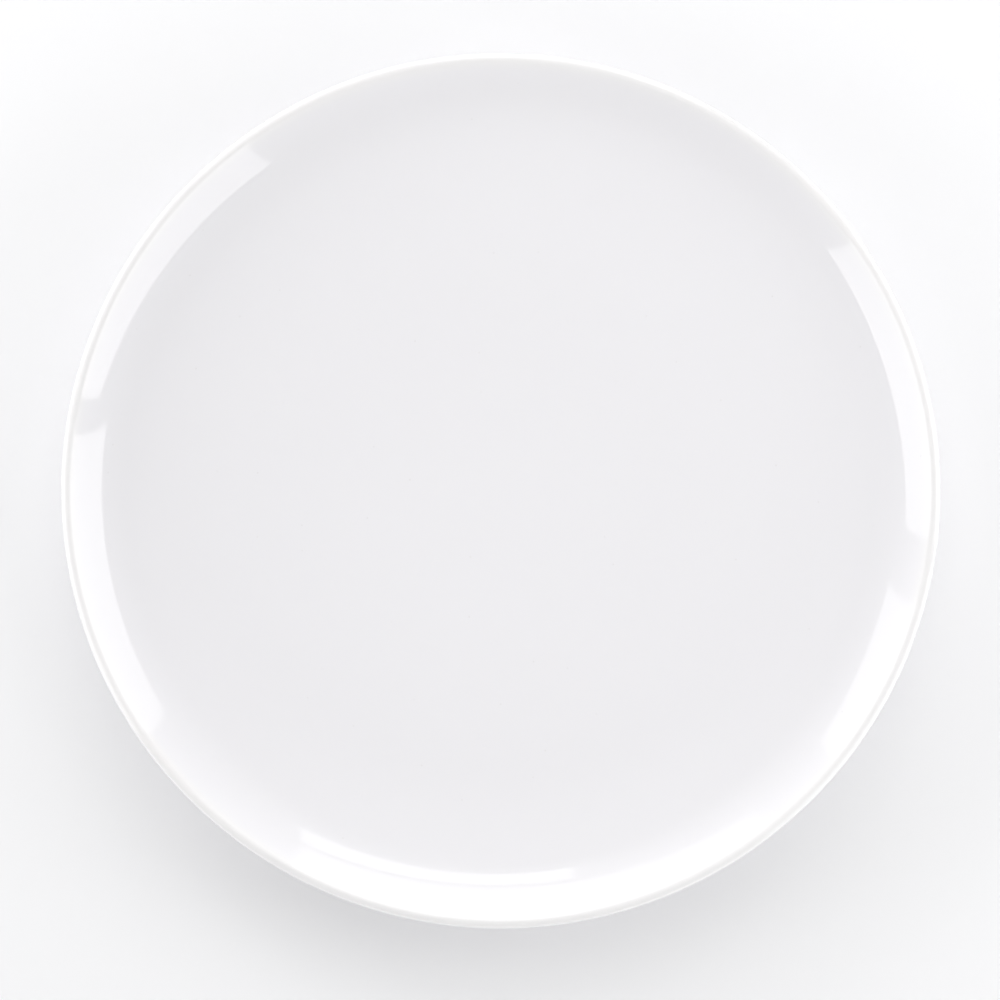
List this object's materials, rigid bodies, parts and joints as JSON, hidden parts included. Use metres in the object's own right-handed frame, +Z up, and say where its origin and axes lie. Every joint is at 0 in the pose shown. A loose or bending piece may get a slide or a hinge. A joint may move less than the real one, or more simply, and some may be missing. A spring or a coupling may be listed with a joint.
{
  "type": "round serving platter",
  "caption": "Shallow round coupe platter of white glazed porcelain, with a flat floor, a smooth upturned wall, a rounded lip and a foot ring, for serving food.",
  "frame": {"origin": "on the table, at the middle of the foot ring", "axes": "+Z up along the axis of revolution, out of the dish; X and Y are alike"},
  "size_m": [0.305, 0.305, 0.026],
  "materials": {
    "bare_porcelain": "matte",
    "white_glaze": "gloss"
  },
  "bodies": {
    "root": {"porcelain_body": "bare_porcelain", "outer_glaze": "white_glaze", "base_glaze": "white_glaze"}
  },
  "joints": []
}
